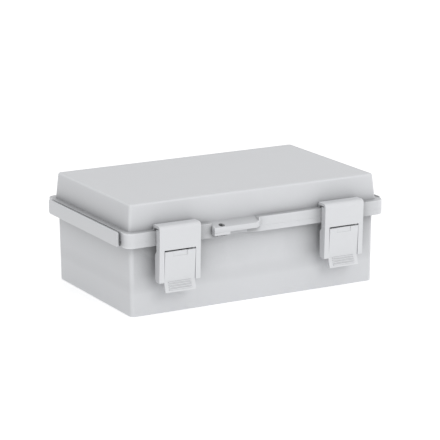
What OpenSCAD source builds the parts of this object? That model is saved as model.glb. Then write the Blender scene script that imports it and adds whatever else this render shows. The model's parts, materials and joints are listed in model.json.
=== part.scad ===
// Hinged polycarbonate enclosure with two draw latches and a padlock tab.
// Millimetres. The origin is the centre of the underside, +Z is up,
// -Y is the latch side, +Y is the hinge side and X runs along the length.

/* [Case] */
// Length of the base at its rim, left to right
base_l = 246.8; // [220:0.2:320]
// Depth of the base at its rim, front to back
base_w = 148; // [120:0.2:200]
// Height of the base, from its underside to the joint with the lid
base_h = 68.8; // [56:0.1:110]
// Height of the lid, from that joint to its top
lid_h = 31.6; // [20:0.1:60]
// How far each base wall leans in from rim to underside
base_draft = 0.7; // [0:0.05:2]
// How far each lid wall stands outside the base wall below it
lid_step = 1.6; // [0.5:0.1:3]
// How far each lid wall leans in from rim to top
lid_draft = 1.8; // [0:0.1:3]
// Thickness of the side walls
wall_t = 3; // [2:0.1:4]
// Thickness of the base's floor
floor_t = 3.2; // [2:0.1:5]
// Thickness of the lid's panel
lid_t = 3; // [2:0.1:5]
// Radius of the base's upright corners
corner_r = 4; // [3:0.5:9]
// Radius of the lid's upright corners
lid_corner_r = 3; // [3:0.5:9]
// Radius of the upright corners inside base and lid
inner_r = 2; // [1:0.5:5]
// Radius of the edge round the lid's top
lid_edge_r = 2.2; // [0.5:0.1:2.6]

/* [Rim] */
// How far the rim stands out beyond the lid's end walls
rim_over_x = 5.1; // [4.6:0.1:10]
// How far the rim stands out beyond the lid's long walls
rim_over_y = 7; // [6.8:0.1:12]
// Radius of the rim's corners
rim_r = 7.5; // [6:0.5:14]
// Thickness of the rim on the base
base_rim_t = 5.1; // [4:0.1:8]
// Thickness of the rim on the lid
lid_rim_t = 8.1; // [6.5:0.1:12]
// Gap between the two rims when the lid is shut
rim_gap = 0.05; // [0.05:0.05:0.5]
// Length of the guard along each end of the rim
guard_l = 141; // [80:1:150]
// Thickness of a guard
guard_t = 1.6; // [1.2:0.1:4]
// Gap between a guard and the rim of the lid
guard_gap = 2; // [0.4:0.1:3]
// Radius of a guard's corners
guard_r = 2.5; // [0.5:0.1:5]

/* [Seal] */
// Distance from the outside of the lid wall out to the middle of the seal
seal_out = 1; // [0:0.1:1.5]
// Width of the groove for the seal
groove_w = 4; // [3:0.1:4.5]
// Depth of the groove for the seal
groove_d = 4; // [3:0.1:5]
// Thickness of the gasket
gasket_t = 2.4; // [1.5:0.1:2.6]
// Gap between the gasket and each side of its groove
gasket_gap = 0.2; // [0.1:0.05:0.5]
// Width of the tongue that presses on the gasket
tongue_w = 1.6; // [1.2:0.1:2.4]
// Gap between the tongue and the gasket
tongue_gap = 0.2; // [0.1:0.05:0.5]

/* [Hinges] */
// Distance of each hinge's middle from the middle of the case
hinge_x = 78; // [50:1:90]
// Length of a hinge
hinge_l = 56; // [40:1:70]
// Length of each outer knuckle, which belongs to the base
knuckle_l = 13; // [8:1:16]
// Outside radius of the knuckles
knuckle_r = 4.4; // [3.6:0.1:4.4]
// Distance from the rim's back edge out to the hinge axis
axis_out = 5; // [4.9:0.1:7]
// Gap between neighbouring knuckles
knuckle_gap = 0.3; // [0.2:0.1:1]
// Radius of a hinge pin
hinge_pin_r = 2; // [1.5:0.1:2.4]
// Thickness of the gussets under the outer knuckles
gusset_t = 2.4; // [1.6:0.1:4]
// Height of those gussets under the rim
gusset_h = 15; // [8:0.5:24]
// Radius of a hinge pin's head
hinge_head_r = 3.2; // [2.8:0.1:4]
// Thickness of a hinge pin's head
hinge_head_t = 1.2; // [0.8:0.1:2]

/* [Latches] */
// Distance of each latch's middle from the middle of the case
latch_x = 82.7; // [64:0.1:96]
// Width of a latch
latch_w = 40; // [34:0.5:52]
// How far the front of a latch stands out from the rim
latch_out = 7.6; // [7:0.1:10]
// Height of a latch's top above the top of the rim
latch_up = 5; // [4.5:0.1:8]
// How far the hook's legs reach below the joint of base and lid
latch_down = 37.5; // [34:0.1:42]
// How far the hook's lip reaches back over the rim
lip_l = 12.4; // [10:0.1:12.8]
// Thickness of the hook's plate
hook_t = 2.6; // [2:0.1:3]
// Outside radius of the bend at the top of the hook
bend_r = 3.5; // [3:0.1:4.5]
// How far the foot of the hook leans in towards the base
hook_rake = 1.9; // [0:0.1:2.5]
// Width of each leg beside the lever
leg_w = 4.8; // [4.4:0.1:7]
// Thickness of the hook's side walls
cheek_t = 2.2; // [1.6:0.1:3]
// Gap between the side walls and the front of the rim
cheek_gap = 0.4; // [0.3:0.1:1]
// Thickness of the skin that a side wall leaves over each end of the link pin
cheek_skin = 0.8; // [0.6:0.1:1.2]
// Depth of the side walls at the height of the link pin
cheek_l = 10; // [9.8:0.1:12]
// Distance from the underside of the rim down to where the side walls deepen
cheek_step = 5; // [3:0.1:8]
// Height of the slope by which they deepen
cheek_slope = 3; // [1:0.1:6]
// Radius of the side walls' foot
cheek_foot_r = 3; // [1:0.1:4]
// Distance from the joint of base and lid down to the top of the window
window_down = 8.7; // [8:0.1:10]
// Height of the catch at the end of the lip
catch_h = 3; // [2:0.1:4]
// Thickness of the catch at the end of the lip
catch_t = 1.4; // [1:0.1:1.8]
// Depth of the seat in the rim that the catch drops into
seat_d = 0.8; // [0.4:0.1:1.5]
// Gap between the catch and its seat
catch_gap = 0.3; // [0.2:0.05:0.5]
// Radius of the edge at the end of the lip
lip_r = 1; // [0.4:0.1:1.2]

/* [Levers] */
// Gap between the lever and each leg
lever_gap = 0.3; // [0.2:0.05:0.6]
// Height of the slot above the lever
slot_h = 1.4; // [1:0.1:3]
// Thickness of the lever's plate
lever_t = 2.4; // [2:0.1:3]
// How far the lever reaches below the hook's legs
lever_down = 8.8; // [6:0.1:14]
// How far the lever's grip flares out
lever_flare = 2.6; // [0:0.1:4]
// How far the lever's top lies behind the front of the hook
lever_set = 0.4; // [0.2:0.1:1]
// How far the lever lies behind the front of the hook's foot
lever_sunk = 0.9; // [0:0.1:1.2]
// Number of grip ribs on the lever
grip_ribs = 4; // [2:1:4]
// Distance from the hook's foot down to the first grip rib
grip_start = 0.3; // [0.3:0.1:2]
// Distance between grip ribs
grip_pitch = 2.1; // [1.6:0.1:2.2]
// Radius of a grip rib
grip_r = 0.6; // [0.3:0.05:0.8]
// Width of the grip ribs
grip_w = 22; // [12:0.5:26]
// Width of the shallow pocket at the lever's top
pocket_w = 14; // [8:0.5:20]
// Height of that pocket
pocket_h = 4.3; // [2:0.1:6]
// Depth of that pocket
pocket_d = 0.7; // [0.3:0.1:1.2]
// Thickness of the lever's side ribs
lever_rib_t = 3; // [2:0.1:4]
// Distance from the hook's foot up to the foot of the lever's side ribs
lever_rib_up = 2; // [1:0.1:4]
// Distance from the lever's top down to the top of its side ribs
lever_rib_down = 6; // [4:0.1:8]
// Distance from the lever's top down to the lever pin
lever_pin_down = 4.1; // [3.6:0.1:5]
// Distance from the hook's front back to the lever pin
lever_pin_in = 7.2; // [7:0.1:9]
// Radius of a lever pin
lever_pin_r = 2; // [1.5:0.1:2.2]
// Distance from the foot of the hook up to the link pin
link_pin_up = 5.9; // [4:0.1:8]
// Distance from the hook's front back to the link pin
link_pin_in = 6.9; // [6.6:0.1:7]
// Radius of a link pin
link_pin_r = 1.5; // [1:0.1:1.8]
// Width of each lug on the base that carries the lever pin
lug_w = 4.4; // [3:0.1:6]
// Sideways gap between a lug and the lever
lug_gap = 0.4; // [0.2:0.1:1]
// Distance that a lug's web reaches above the lever pin
lug_web_up = 1; // [0:0.1:2]
// Distance that a lug's web reaches down the wall below the lever pin
lug_web_down = 11; // [6:0.5:16]
// Thickness of the wall round a latch pin's bore
bore_wall = 1.55; // [1.2:0.05:1.6]
// Gap between each end of the link pin and the skin over it
link_end_gap = 0.3; // [0.2:0.1:0.6]
// Gap all round a pin in its bore
pin_gap = 0.05; // [0.02:0.01:0.1]

/* [Padlock tab] */
// Position of the tab's left end along the case
tab_x = -47.9; // [-52:0.1:-40]
// Length of the tab's front edge
tab_l = 42.3; // [30:0.1:46]
// Length of the slanted end of the tab
tab_slant = 6; // [3:0.1:10]
// How far the tab stands out from the rim
tab_out = 5; // [4:0.1:7]
// How far the tab's top falls from the lid wall to its front edge
tab_fall = 3.5; // [0:0.1:5]
// Width of the full-height rib left at the slanted end
tab_rib = 2.4; // [1:0.1:4]
// Width of the lug on the base under the tab
padlock_lug_w = 15.5; // [12:0.1:20]
// Thickness of the lug on the base under the tab
padlock_lug_t = 2.4; // [2:0.1:4.4]
// Radius of the padlock hole
padlock_r = 2.75; // [2:0.05:3]
// Distance of the hole from the left end of the tab
padlock_x = 9; // [6:0.1:12]
// Distance of the hole from the front edge of the tab
padlock_y = 4.4; // [4:0.1:6]
// Depth of the finger recess under the tab
recess_d = 5; // [3:0.1:5.5]
// Length of the recess's slanted end
recess_run = 19; // [4:0.5:24]

/* [Inside] */
// Length of the mounting plate
plate_l = 216; // [120:1:222]
// Depth of the mounting plate
plate_w = 118; // [80:1:122]
// Thickness of the mounting plate
plate_t = 2; // [1:0.1:4]
// Radius of the mounting plate's corners
plate_r = 10; // [8:0.5:14]
// Distance between the plate's screws along the case
screw_dx = 196; // [100:1:204]
// Distance between the plate's screws across the case
screw_dy = 100; // [60:1:104]
// Height of the bosses above the floor
boss_h = 8; // [6:0.5:14]
// Radius of the bosses
boss_r = 5.5; // [4.5:0.1:7]
// Outside radius of a threaded insert
insert_r = 3; // [2.6:0.1:3.6]
// Length of a threaded insert
insert_l = 7; // [5:0.5:8]
// Radius of a plate screw
screw_r = 2; // [1.5:0.1:2.2]
// Length of a plate screw under its head
screw_l = 8; // [6:0.5:9]
// Gap all round a plate screw in the plate
screw_gap = 0.25; // [0.1:0.05:0.5]
// Radius of a plate screw's head
screw_head_r = 3.8; // [3:0.1:4.5]
// Height of a plate screw's head
screw_head_h = 2.4; // [1.5:0.1:3.5]
// Distance between the fixing holes in the plate along the case
plate_hole_dx = 160; // [60:1:180]
// Distance between the fixing holes in the plate across the case
plate_hole_dy = 80; // [40:1:90]
// Radius of the fixing holes in the plate
plate_hole_r = 2.15; // [1.5:0.05:3]
// Distance between the holes in the underside along the case
under_dx = 225; // [150:1:226]
// Distance between the holes in the underside across the case
under_dy = 124; // [80:1:126]
// Radius of the holes in the underside
under_r = 2.1; // [1.5:0.1:2.6]
// Depth of the holes in the underside
under_d = 9; // [6:0.5:12]
// Radius of the posts that hold those holes
post_r = 5.5; // [4.5:0.1:7]
// Thickness of the cap that closes each post over its hole
post_cap = 2; // [1:0.1:3]
// Thickness of the ribs that tie each post to the walls
post_rib_t = 2; // [1:0.1:3]

/* [Hidden] */
$fn = 48;
OVER = 1;            // how far a cut runs past the face that it opens
SINK = 0.5;          // how far a shape reaches into the one that carries it
EDGE_STEPS = 4;      // flats in the rounded edge of the lid

shell_colour = [0.80, 0.81, 0.82];
seal_colour = [0.16, 0.16, 0.17];
steel_colour = [0.72, 0.73, 0.75];
brass_colour = [0.80, 0.66, 0.36];

// Outlines of the case and its rim
lid_l = base_l + 2 * lid_step;
lid_w = base_w + 2 * lid_step;
rim_l = lid_l + 2 * rim_over_x;
rim_w = lid_w + 2 * rim_over_y;
rim_front = -rim_w / 2;
rim_bottom = base_h - base_rim_t;
rim_top = base_h + lid_rim_t;
lid_z = base_h + rim_gap;
top_z = base_h + lid_h;

// Seal
seal_l = lid_l + 2 * seal_out;
seal_w = lid_w + 2 * seal_out;
seal_r = lid_corner_r + seal_out;
gasket_z = lid_z + groove_d - gasket_t;
tongue_top = gasket_z - tongue_gap;

// Hinges
axis_y = rim_w / 2 + axis_out;
axis_z = base_h;

// Latches: planes and pin centres
hook_front = rim_front - latch_out;
hook_top = rim_top + latch_up;
hook_foot = base_h - latch_down;
window_w = latch_w - 2 * leg_w;
window_top = base_h - window_down;
lever_w = window_w - 2 * lever_gap;
lever_top = window_top - slot_h;
lever_foot = hook_foot - lever_down;
lever_pin = [hook_front + lever_pin_in, lever_top - lever_pin_down];
link_pin = [hook_front + link_pin_in, hook_foot + link_pin_up];
link_bore_l = latch_w - 2 * cheek_skin;
lip_end = hook_front + lip_l;
lug_x = lever_w / 2 - lever_rib_t - lug_gap - lug_w / 2;

// Padlock tab
tab_front = rim_front - tab_out;
tab_end = tab_x + tab_l;
lid_wall_y = -lid_w / 2;
padlock_at = [tab_x + padlock_x, tab_front + padlock_y];

function arc(centre, r, from, to, steps = 8) =
    [for (i = [0 : steps]) let (a = from + (to - from) * i / steps)
        centre + r * [cos(a), sin(a)]];

// Plan of a rectangle with round corners
module rounded_plan(l, w, r) {
    square([l, w - 2 * r], center = true);
    square([l - 2 * r, w], center = true);
    for (x = [-1, 1], y = [-1, 1])
        translate([x * (l / 2 - r), y * (w / 2 - r)])
            circle(r);
}

// Block whose walls lean in by lean from its foot at z0 to its top at z1
module leaning_block(l, w, r, lean, z0, z1) {
    translate([0, 0, z0])
        linear_extrude(z1 - z0, scale = [1 - 2 * lean / l, 1 - 2 * lean / w], slices = 1)
            rounded_plan(l, w, r);
}

// The same block with a rounded edge round its top
module domed_block(l, w, r, lean, z0, z1, edge) {
    hull() {
        at_corners(l - 2 * r, w - 2 * r, z0)
            cylinder(r = r, h = SINK);
        for (i = [0 : EDGE_STEPS - 1]) {
            a = 90 * i / EDGE_STEPS;
            b = 90 * (i + 1) / EDGE_STEPS;
            at_corners(l - 2 * lean - 2 * r, w - 2 * lean - 2 * r, z1 - edge * (1 - sin(a)))
                cylinder(r1 = r - edge * (1 - cos(a)), r2 = r - edge * (1 - cos(b)),
                    h = edge * (sin(b) - sin(a)));
        }
    }
}

// Extrudes an outline given in (y, z) along X
module along_x(x0, x1) {
    translate([x0, 0, 0])
        rotate([90, 0, 90])
            linear_extrude(x1 - x0)
                children();
}

module rod_x(at, r, x0, x1) {
    along_x(x0, x1)
        translate(at)
            circle(r);
}

module at_corners(dx, dy, z = 0) {
    for (x = [-1, 1], y = [-1, 1])
        translate([x * dx / 2, y * dy / 2, z])
            children();
}

// ---- base ----

module base_shell() {
    foot_l = base_l - 2 * base_draft;
    foot_w = base_w - 2 * base_draft;
    difference() {
        union() {
            leaning_block(foot_l, foot_w, corner_r, -base_draft, 0, rim_bottom);
            translate([0, 0, rim_bottom])
                linear_extrude(base_rim_t)
                    rounded_plan(rim_l, rim_w, rim_r);
        }
        leaning_block(foot_l - 2 * wall_t, foot_w - 2 * wall_t, inner_r,
            -base_draft, floor_t, base_h + OVER);
        finger_recess();
    }
}

// Cut in the rim of the base under the padlock tab, which runs out in a slant at its right end
module finger_recess() {
    x0 = tab_x + padlock_lug_w;
    x1 = tab_end + tab_slant;
    translate([0, 0, rim_bottom - OVER])
        linear_extrude(base_rim_t + 2 * OVER)
            polygon([[x0, rim_front - OVER], [x0, rim_front + recess_d],
                [x1 - recess_run, rim_front + recess_d], [x1, rim_front],
                [x1, rim_front - OVER]]);
}

// Plate along each end of the rim, on a shelf that stands out from the base's rim
module end_guards() {
    shelf_l = guard_l - 2 * guard_r;
    for (side = [-1, 1])
        scale([side, 1, 1])
            translate([rim_l / 2, 0, 0]) {
                translate([-SINK, -shelf_l / 2, rim_bottom])
                    cube([2 * SINK + guard_gap, shelf_l, base_rim_t]);
                translate([guard_gap, 0, (rim_bottom + rim_top) / 2])
                    rotate([90, 0, 90])
                        linear_extrude(guard_t)
                            rounded_plan(guard_l, rim_top - rim_bottom, guard_r);
            }
}

module seal_ring(width, height) {
    linear_extrude(height)
        difference() {
            rounded_plan(seal_l + width, seal_w + width, seal_r + width / 2);
            rounded_plan(seal_l - width, seal_w - width, seal_r - width / 2);
        }
}

module base_knuckles() {
    for (x = [-hinge_x, hinge_x], end = [0, 1]) {
        x0 = x - hinge_l / 2 + end * (hinge_l - knuckle_l);
        along_x(x0, x0 + knuckle_l) {
            translate([axis_y, axis_z])
                circle(knuckle_r);
            translate([rim_w / 2 - SINK, rim_bottom])
                square([axis_out + SINK, base_rim_t]);
        }
        for (edge = [x0, x0 + knuckle_l - gusset_t])
            along_x(edge, edge + gusset_t)
                polygon([[base_w / 2 - wall_t / 2, rim_bottom + SINK], [axis_y, rim_bottom + SINK],
                    [axis_y, rim_bottom], [base_w / 2 - wall_t / 2, rim_bottom - gusset_h]]);
    }
}

// Pair of lugs on the front wall that carry a lever pin
module latch_lugs(x) {
    lug_r = lever_pin_r + bore_wall;
    wall_y = -base_w / 2 + wall_t / 2;
    for (side = [-1, 1])
        along_x(x + side * lug_x - lug_w / 2, x + side * lug_x + lug_w / 2) {
            translate(lever_pin)
                circle(lug_r);
            polygon([[lever_pin.x, lever_pin.y - lug_r], [lever_pin.x, lever_pin.y + lug_web_up],
                [wall_y, lever_pin.y + lug_web_up], [wall_y, lever_pin.y - lug_web_down]]);
        }
}

module padlock_lug() {
    translate([tab_x, tab_front, base_h - padlock_lug_t])
        cube([padlock_lug_w, tab_out + SINK, padlock_lug_t]);
}

// Bosses for the plate's screws, and posts over the holes in the underside, tied to the walls by ribs
module floor_bosses() {
    post_h = under_d + post_cap - floor_t + SINK;
    at_corners(screw_dx, screw_dy, floor_t - SINK)
        cylinder(r = boss_r, h = boss_h + SINK);
    for (x = [-1, 1], y = [-1, 1])
        scale([x, y, 1])
            translate([under_dx / 2, under_dy / 2, floor_t - SINK]) {
                cylinder(r = post_r, h = post_h);
                translate([0, -post_rib_t / 2, 0])
                    cube([(base_l - wall_t - under_dx) / 2 - base_draft, post_rib_t, post_h]);
                translate([-post_rib_t / 2, 0, 0])
                    cube([post_rib_t, (base_w - wall_t - under_dy) / 2 - base_draft, post_h]);
            }
}

module base() {
    color(shell_colour)
        difference() {
            union() {
                base_shell();
                end_guards();
                translate([0, 0, base_h - SINK])
                    seal_ring(tongue_w, tongue_top - base_h + SINK);
                base_knuckles();
                latch_lugs(-latch_x);
                latch_lugs(latch_x);
                padlock_lug();
                floor_bosses();
            }
            for (x = [-hinge_x, hinge_x])
                rod_x([axis_y, axis_z], hinge_pin_r + pin_gap,
                    x - hinge_l / 2 - OVER, x + hinge_l / 2 + OVER);
            for (x = [-latch_x, latch_x])
                rod_x(lever_pin, lever_pin_r + pin_gap, x - lever_w / 2, x + lever_w / 2);
            translate([padlock_at.x, padlock_at.y, rim_bottom - OVER])
                cylinder(r = padlock_r, h = base_rim_t + 2 * OVER);
            at_corners(screw_dx, screw_dy, floor_t + boss_h - insert_l - OVER)
                cylinder(r = insert_r, h = insert_l + 2 * OVER);
            at_corners(under_dx, under_dy, -OVER)
                cylinder(r = under_r, h = under_d + OVER);
        }
}

// ---- lid ----

module lid_shell() {
    difference() {
        union() {
            domed_block(lid_l, lid_w, lid_corner_r, lid_draft, rim_top - OVER, top_z, lid_edge_r);
            translate([0, 0, lid_z])
                linear_extrude(rim_top - lid_z)
                    rounded_plan(rim_l, rim_w, rim_r);
            padlock_tab();
        }
        leaning_block(lid_l - 2 * wall_t, lid_w - 2 * wall_t, inner_r,
            lid_draft, lid_z - OVER, top_z - lid_t);
    }
}

// Tab on the rim's front, with a slanted right end
module padlock_tab() {
    translate([0, 0, lid_z])
        linear_extrude(rim_top - lid_z)
            polygon([[tab_x, tab_front], [tab_end, tab_front],
                [tab_end + tab_slant, rim_front], [tab_end + tab_slant, rim_front + SINK],
                [tab_x, rim_front + SINK]]);
}

// Wedge over the tab and the rim behind it: without it the tab's top falls to the front
module tab_slope() {
    slope = tab_fall / (lid_wall_y - tab_front);
    along_x(tab_x, tab_end + tab_slant - tab_rib)
        polygon([[lid_wall_y, rim_top], [tab_front - OVER, rim_top - tab_fall - slope * OVER],
            [tab_front - OVER, rim_top + OVER], [lid_wall_y, rim_top + OVER]]);
}

module lid_knuckles() {
    half_l = hinge_l / 2 - knuckle_l - knuckle_gap;
    for (x = [-hinge_x, hinge_x])
        along_x(x - half_l, x + half_l) {
            translate([axis_y, axis_z])
                circle(knuckle_r);
            translate([rim_w / 2 - SINK, lid_z])
                square([axis_out + SINK, knuckle_r - rim_gap]);
        }
}

// Seat in the top of the rim that a hook's catch drops into
module catch_seat(x) {
    translate([x - latch_w / 2, lip_end - catch_t - catch_gap, rim_top - seat_d])
        cube([latch_w, catch_t + 2 * catch_gap, seat_d + OVER]);
}

module lid() {
    color(shell_colour)
        difference() {
            union() {
                lid_shell();
                lid_knuckles();
            }
            tab_slope();
            translate([0, 0, lid_z - OVER])
                seal_ring(groove_w, groove_d + OVER);
            for (x = [-hinge_x, hinge_x])
                rod_x([axis_y, axis_z], hinge_pin_r + pin_gap, x - hinge_l / 2, x + hinge_l / 2);
            for (x = [-latch_x, latch_x])
                catch_seat(x);
            translate([padlock_at.x, padlock_at.y, lid_z - OVER])
                cylinder(r = padlock_r, h = lid_rim_t + 2 * OVER);
        }
}

module gasket() {
    color(seal_colour)
        translate([0, 0, gasket_z])
            seal_ring(groove_w - 2 * gasket_gap, gasket_t);
}

// ---- hinge pins ----

// A pin whose head lies against the hinge's outer end
module hinge_pin(side) {
    outer = side * (hinge_x + hinge_l / 2);
    color(steel_colour) {
        rod_x([axis_y, axis_z], hinge_pin_r, min(outer, outer - side * hinge_l),
            max(outer, outer - side * hinge_l));
        rod_x([axis_y, axis_z], hinge_head_r, min(outer, outer + side * hinge_head_t),
            max(outer, outer + side * hinge_head_t));
    }
}

// ---- latch hook ----

// Side view of the hook's plate, its bend, its lip and the catch at the lip's end
module hook_profile() {
    bend = [hook_front + bend_r, hook_top - bend_r];
    polygon(concat(
        [[hook_front + hook_rake, hook_foot]],
        arc(bend, bend_r, 180, 90),
        arc([lip_end - lip_r, hook_top - lip_r], lip_r, 90, 0, 4),
        [[lip_end, hook_top - hook_t - catch_h + catch_gap],
            [lip_end - catch_t, hook_top - hook_t - catch_h + catch_gap],
            [lip_end - catch_t, hook_top - hook_t]],
        arc(bend, bend_r - hook_t, 90, 180, 4),
        [[hook_front + hook_rake + hook_t, hook_foot]]));
}

// Side view of a cheek: shallow beside the rim, deep where it holds the link pin
module cheek_profile() {
    shallow = rim_front - cheek_gap;
    deep = hook_front + cheek_l;
    step_z = rim_bottom - cheek_step;
    polygon(concat(
        [[hook_front + hook_rake + SINK, hook_foot], [hook_front + SINK, hook_top - bend_r],
            [shallow, hook_top - bend_r], [shallow, step_z],
            [deep, step_z - cheek_slope]],
        arc([deep - cheek_foot_r, hook_foot + cheek_foot_r], cheek_foot_r, 0, -90, 6)));
}

module latch_hook(x) {
    color(shell_colour)
        difference() {
            union() {
                difference() {
                    along_x(x - latch_w / 2, x + latch_w / 2)
                        hook_profile();
                    translate([x - window_w / 2, hook_front - OVER, hook_foot - OVER])
                        cube([window_w, latch_out + 2 * OVER, window_top - hook_foot + OVER]);
                }
                for (side = [-1, 1])
                    along_x(x + side * (latch_w - cheek_t) / 2 - cheek_t / 2,
                        x + side * (latch_w - cheek_t) / 2 + cheek_t / 2)
                        cheek_profile();
                for (side = [-1, 1]) {
                    inner = x + side * (window_w / 2);
                    outer = x + side * (latch_w / 2 - SINK);
                    rod_x(link_pin, link_pin_r + bore_wall, min(inner, outer), max(inner, outer));
                }
            }
            rod_x(link_pin, link_pin_r + pin_gap, x - link_bore_l / 2, x + link_bore_l / 2);
        }
}

// ---- latch lever ----

lever_face = [[hook_front + lever_set, lever_top],
    [hook_front + hook_rake + lever_sunk, hook_foot],
    [hook_front + hook_rake + lever_sunk - lever_flare, lever_foot]];

module lever_profile() {
    back = [for (p = lever_face) p + [lever_t, 0]];
    polygon([lever_face[0], lever_face[1], lever_face[2], back[2], back[1], back[0]]);
}

// Side rib with the bores of both pins
module lever_rib_profile() {
    hull() {
        translate(lever_pin)
            circle(lever_pin_r + bore_wall, $fn = 32);
        translate(link_pin)
            circle(link_pin_r + bore_wall, $fn = 32);
        translate([lever_face[1].x + lever_t - SINK, hook_foot + lever_rib_up])
            square([SINK, lever_top - lever_rib_down - hook_foot - lever_rib_up]);
    }
}

module grip_rods(x) {
    flare = lever_face[2] - lever_face[1];
    for (i = [0 : grip_ribs - 1])
        rod_x(lever_face[1] + (grip_start + i * grip_pitch) * flare / norm(flare), grip_r,
            x - grip_w / 2, x + grip_w / 2);
}

module latch_lever(x) {
    color(shell_colour)
        difference() {
            union() {
                along_x(x - lever_w / 2, x + lever_w / 2)
                    lever_profile();
                for (side = [-1, 1])
                    along_x(x + side * (lever_w - lever_rib_t) / 2 - lever_rib_t / 2,
                        x + side * (lever_w - lever_rib_t) / 2 + lever_rib_t / 2)
                        lever_rib_profile();
                grip_rods(x);
            }
            rod_x(lever_pin, lever_pin_r + pin_gap, x - lever_w, x + lever_w);
            rod_x(link_pin, link_pin_r + pin_gap, x - lever_w, x + lever_w);
            translate([x - pocket_w / 2, lever_face[0].x - OVER, lever_top - pocket_h])
                cube([pocket_w, pocket_d + OVER, pocket_h + OVER]);
        }
}

module lever_pin_rod(x) {
    color(steel_colour)
        rod_x(lever_pin, lever_pin_r, x - lever_w / 2 + SINK, x + lever_w / 2 - SINK);
}

module link_pin_rod(x) {
    color(steel_colour)
        rod_x(link_pin, link_pin_r, x - link_bore_l / 2 + link_end_gap, x + link_bore_l / 2 - link_end_gap);
}

// ---- mounting plate ----

module mounting_plate() {
    color(steel_colour)
        translate([0, 0, floor_t + boss_h])
            linear_extrude(plate_t)
                difference() {
                    rounded_plan(plate_l, plate_w, plate_r);
                    at_corners(screw_dx, screw_dy)
                        circle(screw_r + screw_gap);
                    at_corners(plate_hole_dx, plate_hole_dy)
                        circle(plate_hole_r);
                }
}

module plate_screws() {
    color(steel_colour)
        at_corners(screw_dx, screw_dy, floor_t + boss_h + plate_t)
            difference() {
                union() {
                    translate([0, 0, -screw_l])
                        cylinder(r = screw_r, h = screw_l);
                    cylinder(r = screw_head_r, h = screw_head_h);
                }
                translate([0, 0, screw_head_h / 3])
                    cylinder(r = screw_head_r / 2, h = screw_head_h, $fn = 6);
            }
}

module threaded_inserts() {
    color(brass_colour)
        at_corners(screw_dx, screw_dy, floor_t + boss_h - insert_l)
            difference() {
                cylinder(r = insert_r, h = insert_l);
                translate([0, 0, -OVER])
                    cylinder(r = screw_r + pin_gap, h = insert_l + 2 * OVER);
            }
}

base();
lid();
gasket();
mounting_plate();
plate_screws();
threaded_inserts();
hinge_pin(-1);  // hinge_pin_left
hinge_pin(1);  // hinge_pin_right
latch_hook(-latch_x);  // latch_hook_left
latch_hook(latch_x);  // latch_hook_right
latch_lever(-latch_x);  // latch_lever_left
latch_lever(latch_x);  // latch_lever_right
lever_pin_rod(-latch_x);  // lever_pin_left
lever_pin_rod(latch_x);  // lever_pin_right
link_pin_rod(-latch_x);  // link_pin_left
link_pin_rod(latch_x);  // link_pin_right
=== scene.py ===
"""Looks of a hinged polycarbonate enclosure: edges, finishes, floor, light and camera round its CAD frame."""
import json
import math

import bpy
from mathutils import Matrix, Vector


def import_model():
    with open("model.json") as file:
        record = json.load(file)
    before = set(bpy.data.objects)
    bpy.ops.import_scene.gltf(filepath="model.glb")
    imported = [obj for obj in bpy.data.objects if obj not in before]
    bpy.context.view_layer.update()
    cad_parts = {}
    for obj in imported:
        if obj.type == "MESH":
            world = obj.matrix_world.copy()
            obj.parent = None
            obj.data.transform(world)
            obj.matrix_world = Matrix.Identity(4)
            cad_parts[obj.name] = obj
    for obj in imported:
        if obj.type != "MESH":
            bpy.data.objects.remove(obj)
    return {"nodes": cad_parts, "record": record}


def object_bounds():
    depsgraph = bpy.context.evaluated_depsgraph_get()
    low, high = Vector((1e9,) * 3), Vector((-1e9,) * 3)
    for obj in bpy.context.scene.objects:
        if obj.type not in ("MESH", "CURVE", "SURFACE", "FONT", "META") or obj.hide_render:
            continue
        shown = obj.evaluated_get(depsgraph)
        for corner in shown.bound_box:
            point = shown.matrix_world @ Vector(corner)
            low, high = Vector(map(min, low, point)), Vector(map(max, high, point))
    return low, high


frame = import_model()
cad_low, cad_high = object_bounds()
MM = 0.001

# ---- camera ----

CAMERA_AZIMUTH = -28.70     # degrees round the object, 0 looks along +Y
CAMERA_ELEVATION = 14.02    # degrees above the horizon
CAMERA_ROLL = 0.27          # degrees that the picture is turned
CAMERA_DISTANCE = 2.0113    # from the origin, along the view
CAMERA_ASIDE = 0.0045       # the camera's offset to its right
CAMERA_ABOVE = 0.05435      # and upwards
CAMERA_LENS = 179.3         # mm, for a sensor of 36 mm
SENSOR = 36.0

# ---- edges: radius in mm of each CAD node's rounded edges ----

EDGE_RADIUS = {
    "base": 0.4, "lid": 0.4, "gasket": 0.5, "mounting_plate": 0.3, "plate_screws": 0.3, "threaded_inserts": 0.2,
    "hinge_pin": 0.3, "latch_hook": 0.25, "latch_lever": 0.25, "lever_pin": 0.3, "link_pin": 0.3,
}
SHARP_ANGLE = math.radians(35)    # edges that bend more than this are sharp
SEAM_EDGE = 0.3 * MM              # edges this near the seam's height stay sharp
WELD = 1e-6
BEVEL_SEGMENTS = 3
FACE_WEIGHT = 80                  # how much larger faces rule the shading


def node_kind(name):
    for end in ("_left", "_right"):
        name = name.removesuffix(end)
    return name


# ---- modifiers that weld a CAD mesh, drop its stored normals and weigh its edges for the bevel ----

def geometry_group(name):
    """A geometry nodes group with its input, its output and a call that adds nodes."""
    group = bpy.data.node_groups.new(name, "GeometryNodeTree")
    group.interface.new_socket("Geometry", in_out="INPUT", socket_type="NodeSocketGeometry")
    group.interface.new_socket("Geometry", in_out="OUTPUT", socket_type="NodeSocketGeometry")
    return group, group.nodes.new("NodeGroupInput"), group.nodes.new("NodeGroupOutput")


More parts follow.
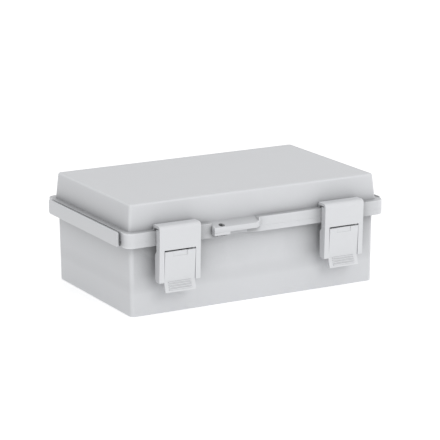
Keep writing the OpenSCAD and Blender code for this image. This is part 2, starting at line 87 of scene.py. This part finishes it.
def clean_group():
    group, source, target = geometry_group("clean_mesh")
    nodes, links = group.nodes, group.links
    merge = nodes.new("GeometryNodeMergeByDistance")
    merge.inputs["Distance"].default_value = WELD
    bare = nodes.new("GeometryNodeRemoveAttribute")
    bare.inputs["Name"].default_value = "custom_normal"
    smooth = nodes.new("GeometryNodeSetShadeSmooth")
    smooth.domain = "FACE"
    links.new(source.outputs[0], merge.inputs[0])
    links.new(merge.outputs[0], bare.inputs[0])
    links.new(bare.outputs[0], smooth.inputs[0])
    links.new(smooth.outputs[0], target.inputs[0])
    return group


def math_node(tree, operation, first, second=None, third=None):
    node = tree.nodes.new("ShaderNodeMath")
    node.operation = operation
    for socket, value in zip(node.inputs, (first, second, third)):
        if value is None:
            continue
        if isinstance(value, (int, float)):
            socket.default_value = value
        else:
            tree.links.new(value, socket)
    return node.outputs[0]


def weigh_group(name, seam):
    """Gives a full bevel to outer corners, and none to inner corners or at the height seam."""
    group, source, target = geometry_group(name)
    nodes, links = group.nodes, group.links
    angle = nodes.new("GeometryNodeInputMeshEdgeAngle").outputs["Signed Angle"]
    weight = math_node(group, "GREATER_THAN", angle, SHARP_ANGLE)
    if seam is not None:
        split = nodes.new("ShaderNodeSeparateXYZ")
        links.new(nodes.new("GeometryNodeInputPosition").outputs[0], split.inputs[0])
        away = math_node(group, "ABSOLUTE", math_node(group, "SUBTRACT", split.outputs["Z"], seam))
        weight = math_node(group, "MULTIPLY", weight, math_node(group, "GREATER_THAN", away, SEAM_EDGE))
    bend = nodes.new("GeometryNodeInputMeshEdgeAngle").outputs["Unsigned Angle"]
    crease = math_node(group, "SUBTRACT", math_node(group, "GREATER_THAN", bend, SHARP_ANGLE), weight)
    shape = source.outputs[0]
    for kind, attribute, value in (("FLOAT", "bevel_weight_edge", weight), ("BOOLEAN", "sharp_edge", crease)):
        store = nodes.new("GeometryNodeStoreNamedAttribute")
        store.data_type = kind
        store.domain = "EDGE"
        store.inputs["Name"].default_value = attribute
        links.new(shape, store.inputs["Geometry"])
        links.new(value, store.inputs["Value"])
        shape = store.outputs[0]
    links.new(shape, target.inputs[0])
    return group


def round_edges(obj, radius, clean_mesh, weigh_edges):
    clean = obj.modifiers.new("clean", "NODES")
    clean.node_group = clean_mesh
    weigh = obj.modifiers.new("weigh", "NODES")
    weigh.node_group = weigh_edges
    bevel = obj.modifiers.new("edges", "BEVEL")
    bevel.limit_method = "WEIGHT"
    bevel.width = radius * MM
    bevel.segments = BEVEL_SEGMENTS
    bevel.use_clamp_overlap = False
    bevel.loop_slide = False
    bevel.miter_outer = "MITER_SHARP"
    bevel.harden_normals = False
    weighted = obj.modifiers.new("shading", "WEIGHTED_NORMAL")
    weighted.weight = FACE_WEIGHT
    weighted.keep_sharp = True


clean_mesh = clean_group()
plain_edges = weigh_group("weigh_edges", None)
seam_height = frame["record"]["behaviour"]["joints"][0]["pos_m"][2]
seam_edges = weigh_group("weigh_edges_but_seam", seam_height)
for name, obj in frame["nodes"].items():
    round_edges(obj, EDGE_RADIUS[node_kind(name)], clean_mesh, seam_edges if name in ("base", "lid") else plain_edges)

# ---- materials ----

# Where the painted shade tells the regions of the shell apart
OUTSIDE = Vector((118.9, 69.4, 97.6)) * MM    # half length, half width and roof of the space inside
GUARD_START = 131 * MM              # the guards lie further than this from the middle
RIM_FRONT = -79.5 * MM              # the rim's front and the tab lie beyond this y
TAB_FRONT = -84 * MM                # and the rim's front lies no further than this
RIM_FOOT = 63 * MM                  # the base's walls lie below this height
SEAM_FACE = 0.15 * MM               # level faces this near the seam are its mating faces
SEAM_CLEAR = 2.5 * MM               # edges nearer to the seam than this aren't paler
FLOOR_FADE = 20 * MM, 36 * MM       # the shading starts between these heights, clear of the floor
FACING = 0.7                        # least part of a normal along an axis that a face is said to face

# How far off another surface still darkens a surface with painted shade
SHADE_REACH = 26 * MM
LOW_REACH = 50 * MM                 # on the base's walls, by the shell itself
OTHERS_REACH = 36 * MM              # by other pieces, at most, so that the floor stays out of it
SHADE_SAMPLES = 16

# Power of a surface's own painted shade: what each region adds, and the darkest value that goes in
OWN_LOW, OWN_RIM, OWN_ENDS = 0.15, 1.35, -0.45
OWN_LEAST, OWN_LEAST_LOW = 0.35, 0.45

# Power of the painted shade by other pieces: on the shell, what each region adds, and on the sides of a latch
OTHERS_SHELL, OTHERS_LOW, OTHERS_RIM, OTHERS_ENDS = 0.85, 0.65, 1.3, -0.85
OTHERS_LATCH = 0.6
OTHERS_LEAST = 0.78
NO_ZERO = 0.05                      # keeps a divisor off zero

# Painted highlight along edges
EDGE_REACH = 2.2 * MM               # how far from an edge
EDGE_SAMPLES = 12
EDGE_GAIN = 2.0
EDGE_CLEAR = 0.75, 0.95             # from no paler edge to a full one, by how clear the place is
EDGE_ALL, EDGE_UP = 0.25, 0.5       # share of the painted highlight on every face, and what facing up adds
SLANTS = ("X", "Y", 1.8), ("X", "Z", 3.2), ("Y", "Z", 1.4)    # painted highlight on rounded corners between two axes

# Moulded plastic: size in mm and detail of the clouds, flow marks, orange peel and spark texture
MOULD_GRAINS = (38, 2), (9, 2), (2.6, 1), (0.38, 1)
EDGE_GLOSS = -0.06                  # roughness along the painted edge highlight, against the rest


def add_node(tree, kind, inputs=(), out=0, **settings):
    """Adds a node, sets it up and returns one of its outputs. An input is a value or another node's output."""
    node = tree.nodes.new(kind)
    for name, value in settings.items():
        setattr(node, name, value)
    for key, value in dict(inputs).items():
        if isinstance(value, bpy.types.NodeSocket):
            tree.links.new(value, node.inputs[key])
        else:
            node.inputs[key].default_value = value
    return node.outputs[out]


def noise(tree, place, grain, detail=2.0):
    """Noise with lumps of about the size grain, in mm, around 0.5."""
    return add_node(tree, "ShaderNodeTexNoise", {"Vector": place, "Scale": 1 / (grain * MM), "Detail": detail})


def summed(tree, *terms):
    """The sum of (amount, output) pairs, each output taken from its middle value 0.5."""
    total = None
    for amount, value in terms:
        part = math_node(tree, "MULTIPLY_ADD", value, amount, -0.5 * amount)
        total = part if total is None else math_node(tree, "ADD", total, part)
    return total


def split_xyz(tree, vector):
    node = tree.nodes.new("ShaderNodeSeparateXYZ")
    tree.links.new(vector, node.inputs[0])
    return node


def ramp(tree, value, ends):
    """0 up to the first end, 1 from the second, straight between them."""
    return add_node(tree, "ShaderNodeMapRange", {"Value": value, "From Min": ends[0], "From Max": ends[1]}, "Result")


def new_material(name):
    material = bpy.data.materials.new(name)
    material.use_nodes = True
    return material, material.node_tree, material.node_tree.nodes["Principled BSDF"]


def tinted(tree, colour, factor):
    return add_node(tree, "ShaderNodeVectorMath", {0: colour, "Scale": factor}, operation="SCALE")


def bumped(tree, shader, height):
    """Bump from a height in mm."""
    node = add_node(tree, "ShaderNodeBump", {"Strength": 1.0, "Distance": MM, "Height": height})
    tree.links.new(node, shader.inputs["Normal"])


def painted_shade(tree, place, reach, own_power, shell):
    """Painted shade: 1 in the open and less where surfaces are near, on the outside only, so that an open lid shows
    insides free of painted shade.
    """
    split = split_xyz(tree, place)
    facing = split_xyz(tree, add_node(tree, "ShaderNodeNewGeometry", (), "True Normal"))
    side = math_node(tree, "GREATER_THAN", math_node(tree, "ABSOLUTE", facing.outputs["X"]), FACING)
    own_least, own_reach = OWN_LEAST, reach
    if shell:
        low = math_node(tree, "LESS_THAN", split.outputs["Z"], RIM_FOOT)
        own_reach = math_node(tree, "MULTIPLY_ADD", low, LOW_REACH - reach, reach)
        forward = math_node(tree, "LESS_THAN", split.outputs["Y"], RIM_FRONT)
        rim_only = math_node(tree, "MULTIPLY", forward, math_node(tree, "GREATER_THAN", split.outputs["Y"], TAB_FRONT))
        front = math_node(tree, "MULTIPLY", rim_only, math_node(tree, "LESS_THAN", facing.outputs["Y"], -FACING))
        own_power = math_node(tree, "MULTIPLY_ADD", low, OWN_LOW, own_power)
        own_power = math_node(tree, "MULTIPLY_ADD", front, OWN_RIM, own_power)
        own_power = math_node(tree, "MULTIPLY_ADD", math_node(tree, "MULTIPLY", forward, side), OWN_ENDS, own_power)
        own_least = math_node(tree, "MULTIPLY_ADD", low, OWN_LEAST_LOW, OWN_LEAST)

    def open_share(distance, only_local):
        return add_node(tree, "ShaderNodeAmbientOcclusion", {"Distance": distance}, "AO",
                        samples=SHADE_SAMPLES, only_local=only_local)

    own = open_share(own_reach, True)
    others_reach = math_node(tree, "MINIMUM", own_reach, OTHERS_REACH)
    own_near = open_share(others_reach, True)
    all_near = open_share(others_reach, False)
    clear = math_node(tree, "POWER", math_node(tree, "MAXIMUM", own, own_least), own_power)
    others = math_node(tree, "DIVIDE", all_near, math_node(tree, "MAXIMUM", own_near, NO_ZERO))
    others = math_node(tree, "MINIMUM", math_node(tree, "MAXIMUM", others, OTHERS_LEAST), 1.0)
    if shell:
        power = math_node(tree, "MULTIPLY_ADD", low, OTHERS_LOW, OTHERS_SHELL)
        power = math_node(tree, "MULTIPLY_ADD", front, OTHERS_RIM, power)
        power = math_node(tree, "MULTIPLY_ADD", math_node(tree, "MULTIPLY", forward, side), OTHERS_ENDS, power)
    else:
        power = math_node(tree, "MULTIPLY", side, OTHERS_LATCH)
    clear = math_node(tree, "MULTIPLY", clear, math_node(tree, "POWER", others, power))
    dark = math_node(tree, "SUBTRACT", 1.0, clear)
    over = []
    for axis, half in zip("XYZ", OUTSIDE):
        value = split.outputs[axis] if axis == "Z" else math_node(tree, "ABSOLUTE", split.outputs[axis])
        over.append(math_node(tree, "SUBTRACT", value, half))
    out = math_node(tree, "MAXIMUM", math_node(tree, "MAXIMUM", over[0], over[1]), over[2])
    masks = [math_node(tree, "GREATER_THAN", out, 0.0)]
    away = math_node(tree, "ABSOLUTE", math_node(tree, "SUBTRACT", split.outputs["Z"], seam_height))
    steep = math_node(tree, "LESS_THAN", math_node(tree, "ABSOLUTE", facing.outputs["Z"]), FACING)
    masks.append(math_node(tree, "MAXIMUM", steep, math_node(tree, "GREATER_THAN", away, SEAM_FACE)))
    if shell:
        masks.append(ramp(tree, split.outputs["Z"], FLOOR_FADE))
    for mask in masks:
        dark = math_node(tree, "MULTIPLY", dark, mask)
    return math_node(tree, "SUBTRACT", 1.0, dark)


def painted_edge_highlight(tree, place, reach, clear):
    """Painted highlight: paler along outer edges and round upright corners, but not in creases, along the seam or on
    the guards.

    Short rays into the wall meet another face only near an outer edge. clear is 1 where nothing is near."""
    within = add_node(tree, "ShaderNodeAmbientOcclusion", {"Distance": reach}, "AO",
                      samples=EDGE_SAMPLES, only_local=True, inside=True)
    edge = math_node(tree, "MINIMUM", math_node(tree, "MULTIPLY_ADD", within, -EDGE_GAIN, EDGE_GAIN), 1.0)
    split = split_xyz(tree, place)
    facing = split_xyz(tree, add_node(tree, "ShaderNodeNewGeometry", (), "True Normal"))
    away = math_node(tree, "ABSOLUTE", math_node(tree, "SUBTRACT", split.outputs["Z"], seam_height))
    masks = [ramp(tree, clear, EDGE_CLEAR),
             math_node(tree, "GREATER_THAN", away, SEAM_CLEAR),
             math_node(tree, "LESS_THAN", math_node(tree, "ABSOLUTE", split.outputs["X"]), GUARD_START)]
    # the painted highlight is stronger on faces that face along X and on faces that face up
    highlight_facing = math_node(tree, "ADD", math_node(tree, "ABSOLUTE", facing.outputs["X"]), EDGE_ALL)
    highlight_facing = math_node(tree, "MULTIPLY_ADD", math_node(tree, "MAXIMUM", facing.outputs["Z"], 0.0), EDGE_UP, highlight_facing)
    edge = math_node(tree, "MULTIPLY", edge, highlight_facing)
    for mask in masks:
        edge = math_node(tree, "MULTIPLY", edge, mask)
    for first, second, amount in SLANTS:
        slant = math_node(tree, "MULTIPLY", facing.outputs[first], facing.outputs[second])
        edge = math_node(tree, "MULTIPLY_ADD", math_node(tree, "MULTIPLY", slant, slant), amount, edge)
    return edge


def moulded_plastic(name, colour, rough, power, shell, paler, edge):
    """Satin polycarbonate with a fine spark texture and faint flow clouds, painted highlights along outer edges, which
    are also a little glossier, and painted shade in creases.
    """
    material, tree, shader = new_material(name)
    place = add_node(tree, "ShaderNodeTexCoord", (), "Object")
    clouds, flow, peel, grain = (noise(tree, place, size, detail) for size, detail in MOULD_GRAINS)
    clear = painted_shade(tree, place, SHADE_REACH, power, shell)
    edge_highlight = painted_edge_highlight(tree, place, edge, clear)
    tone = math_node(tree, "ADD", summed(tree, (0.035, clouds), (0.02, flow), (0.05, grain)), 1.0)
    # painted shade: the colour is darker where other surfaces are near, as shade falls there
    tone = math_node(tree, "MULTIPLY", tone, clear)
    # painted highlight: paler along outer edges and round corners
    tone = math_node(tree, "MULTIPLY", tone, math_node(tree, "MULTIPLY_ADD", edge_highlight, paler, 1.0))
    tree.links.new(tinted(tree, colour, tone), shader.inputs["Base Color"])
    dull = summed(tree, (0.10, flow), (0.08, clouds), (0.06, grain))
    dull = math_node(tree, "ADD", dull, math_node(tree, "MULTIPLY_ADD", edge_highlight, EDGE_GLOSS, rough))
    tree.links.new(dull, shader.inputs["Roughness"])
    bumped(tree, shader, summed(tree, (0.05, clouds), (0.02, peel), (0.012, grain)))
    return material


def foamed_seal(name, colour):
    """Matt foam with open cells and a skin that shines here and there."""
    material, tree, shader = new_material(name)
    place = add_node(tree, "ShaderNodeTexCoord", (), "Object")
    cells = add_node(tree, "ShaderNodeTexVoronoi", {"Vector": place, "Scale": 1 / (0.7 * MM)}, "Distance")
    patches = noise(tree, place, 6, 3)
    tone = math_node(tree, "ADD", summed(tree, (0.7, cells), (0.6, patches)), 1.0)
    tree.links.new(tinted(tree, colour, tone), shader.inputs["Base Color"])
    tree.links.new(math_node(tree, "ADD", summed(tree, (0.25, patches)), 0.78), shader.inputs["Roughness"])
    bumped(tree, shader, summed(tree, (0.16, cells), (0.1, patches)))
    return material


def galvanised(name, colour):
    """Zinc coat: spangles that differ in tone and gloss, with fine scratches from handling."""
    material, tree, shader = new_material(name)
    shader.inputs["Metallic"].default_value = 1.0
    place = add_node(tree, "ShaderNodeTexCoord", (), "Object")
    bent = add_node(tree, "ShaderNodeVectorMath", {0: add_node(tree, "ShaderNodeTexNoise", {
        "Vector": place, "Scale": 1 / (5 * MM)}, 1), 1: (0.004, 0.004, 0.004)}, operation="MULTIPLY")
    place_bent = add_node(tree, "ShaderNodeVectorMath", {0: place, 1: bent}, operation="ADD")
    spangle = add_node(tree, "ShaderNodeTexVoronoi", {"Vector": place_bent, "Scale": 1 / (7 * MM)}, "Color")
    spangle = add_node(tree, "ShaderNodeSeparateColor", {0: spangle})
    streaks = noise(tree, add_node(tree, "ShaderNodeMapping", {"Vector": place, "Scale": (0.02, 1, 1)}), 0.3, 2)
    tone = math_node(tree, "ADD", summed(tree, (0.09, spangle), (0.05, streaks)), 1.0)
    tree.links.new(tinted(tree, colour, tone), shader.inputs["Base Color"])
    tree.links.new(math_node(tree, "ADD", summed(tree, (0.16, spangle), (0.1, streaks)), 0.42),
                   shader.inputs["Roughness"])
    bumped(tree, shader, summed(tree, (0.006, streaks), (0.01, noise(tree, place, 3))))
    return material


def drawn_metal(name, colour, rough, lines):
    """Bare metal with fine lines of tooling. lines squeezes the noise, so they run along its smallest number."""
    material, tree, shader = new_material(name)
    shader.inputs["Metallic"].default_value = 1.0
    place = add_node(tree, "ShaderNodeTexCoord", (), "Object")
    marks = noise(tree, add_node(tree, "ShaderNodeMapping", {"Vector": place, "Scale": lines}), 0.12, 2)
    stains = noise(tree, place, 4, 3)
    tone = math_node(tree, "ADD", summed(tree, (0.12, marks), (0.14, stains)), 1.0)
    tree.links.new(tinted(tree, colour, tone), shader.inputs["Base Color"])
    dull = math_node(tree, "ADD", summed(tree, (0.16, marks), (0.1, stains)), rough)
    tree.links.new(dull, shader.inputs["Roughness"])
    bumped(tree, shader, summed(tree, (0.006, marks)))
    return material


finish = {
    "shell": moulded_plastic("shell", (0.69, 0.70, 0.72), 0.47, 0.85, True, 0.17, EDGE_REACH),
    # the latch's colour is a little lighter than the shell's: painted light, as its protruding faces catch more light
    "latch": moulded_plastic("latch", (0.725, 0.735, 0.755), 0.45, 0.5, False, 0.05, 0.5 * EDGE_REACH),
    "seal": foamed_seal("seal", (0.045, 0.045, 0.05)),
    "plate": galvanised("plate", (0.60, 0.61, 0.62)),
    "steel": drawn_metal("steel", (0.60, 0.60, 0.61), 0.30, (0.04, 1, 1)),
    "brass": drawn_metal("brass", (0.72, 0.54, 0.24), 0.30, (0.05, 0.05, 1)),
}
slots = {part["node"]: part["material_slot"] for part in frame["record"]["subparts"]}
for name, obj in frame["nodes"].items():
    obj.data.materials.clear()
    obj.data.materials.append(finish[slots[name]])

# ---- floor, light and camera ----

FLOOR_HALF = 6.0
FLOOR_COLOUR = (0.9, 0.9, 0.9, 1)
FLOOR_SEEN, FLOOR_GLOW = 0.45, 0.16     # glow of the floor to what is seen and to other rays
SKY_SEEN = 1.0                          # white background
SKY_LEVEL, SKY_RIGHT = 0.725, 0.07      # light from the sky, and how much more of it comes from +X
KEY_PLACE, KEY_SIZE, KEY_POWER = (0.2, -1.6, 0.95), 0.9, 6.6
KEY_AIM = (0, 0, 0.05)


def seen_rays(tree, path):
    """1 for what the camera sees, directly or mirrored in a gloss."""
    return math_node(tree, "MAXIMUM", path.outputs["Is Camera Ray"], path.outputs["Is Glossy Ray"])


def floor():
    mesh = bpy.data.meshes.new("floor")
    half = FLOOR_HALF
    mesh.from_pydata([(-half, -half, 0), (half, -half, 0), (half, half, 0), (-half, half, 0)], [], [(0, 1, 2, 3)])
    obj = bpy.data.objects.new("floor", mesh)
    obj.location.z = cad_low.z
    bpy.context.scene.collection.objects.link(obj)
    material = bpy.data.materials.new("floor")
    material.use_nodes = True
    nodes, links = material.node_tree.nodes, material.node_tree.links
    shader = nodes["Principled BSDF"]
    shader.inputs["Base Color"].default_value = FLOOR_COLOUR
    shader.inputs["Roughness"].default_value = 0.9
    shader.inputs["Specular IOR Level"].default_value = 0.0
    path = nodes.new("ShaderNodeLightPath")
    seen = nodes.new("ShaderNodeEmission")
    seen.inputs["Strength"].default_value = FLOOR_SEEN
    glow = nodes.new("ShaderNodeEmission")
    glow.inputs["Strength"].default_value = FLOOR_GLOW
    pick = nodes.new("ShaderNodeMixShader")
    add = nodes.new("ShaderNodeAddShader")
    links.new(seen_rays(material.node_tree, path), pick.inputs[0])
    links.new(glow.outputs[0], pick.inputs[1])
    links.new(seen.outputs[0], pick.inputs[2])
    links.new(shader.outputs[0], add.inputs[0])
    links.new(pick.outputs[0], add.inputs[1])
    links.new(add.outputs[0], nodes["Material Output"].inputs["Surface"])
    obj.data.materials.append(material)


def world():
    sky = bpy.data.worlds.new("studio")
    bpy.context.scene.world = sky
    sky.use_nodes = True
    nodes, links = sky.node_tree.nodes, sky.node_tree.links
    light = nodes["Background"]
    light.inputs["Color"].default_value = (1, 1, 1, 1)
    side = nodes.new("ShaderNodeSeparateXYZ")
    links.new(nodes.new("ShaderNodeTexCoord").outputs["Generated"], side.inputs[0])
    level = math_node(sky.node_tree, "MULTIPLY_ADD", side.outputs["X"], SKY_RIGHT, SKY_LEVEL)
    links.new(level, light.inputs["Strength"])
    seen = nodes.new("ShaderNodeBackground")
    seen.inputs["Color"].default_value = (1, 1, 1, 1)
    seen.inputs["Strength"].default_value = SKY_SEEN
    path = nodes.new("ShaderNodeLightPath")
    pick = nodes.new("ShaderNodeMixShader")
    links.new(seen_rays(sky.node_tree, path), pick.inputs[0])
    links.new(light.outputs[0], pick.inputs[1])
    links.new(seen.outputs[0], pick.inputs[2])
    links.new(pick.outputs[0], nodes["World Output"].inputs["Surface"])


def softbox(name, place, size, power):
    lamp = bpy.data.lights.new(name, "AREA")
    lamp.shape = "SQUARE"
    lamp.size = size
    lamp.energy = power
    obj = bpy.data.objects.new(name, lamp)
    obj.location = place
    aim = Vector(KEY_AIM) - Vector(place)
    obj.rotation_mode = "QUATERNION"
    obj.rotation_quaternion = aim.to_track_quat("-Z", "Y")
    bpy.context.scene.collection.objects.link(obj)


def camera():
    azimuth, elevation, roll = map(math.radians, (CAMERA_AZIMUTH, CAMERA_ELEVATION, CAMERA_ROLL))
    back = Vector((math.sin(azimuth) * math.cos(elevation), -math.cos(azimuth) * math.cos(elevation),
                   math.sin(elevation)))
    right = Vector((math.cos(azimuth), math.sin(azimuth), 0))
    up = back.cross(right)
    place = back * CAMERA_DISTANCE + right * CAMERA_ASIDE + up * CAMERA_ABOVE
    turned_right = right * math.cos(roll) - up * math.sin(roll)
    turned_up = right * math.sin(roll) + up * math.cos(roll)
    data = bpy.data.cameras.new("camera")
    data.lens = CAMERA_LENS
    data.sensor_width = SENSOR
    data.clip_start, data.clip_end = 0.1, 50
    obj = bpy.data.objects.new("camera", data)
    obj.matrix_world = Matrix.Translation(place) @ Matrix((turned_right, turned_up, back)).transposed().to_4x4()
    bpy.context.scene.collection.objects.link(obj)
    bpy.context.scene.camera = obj


floor()
world()
softbox("key", KEY_PLACE, KEY_SIZE, KEY_POWER)
camera()
bpy.context.scene.view_settings.view_transform = "Standard"
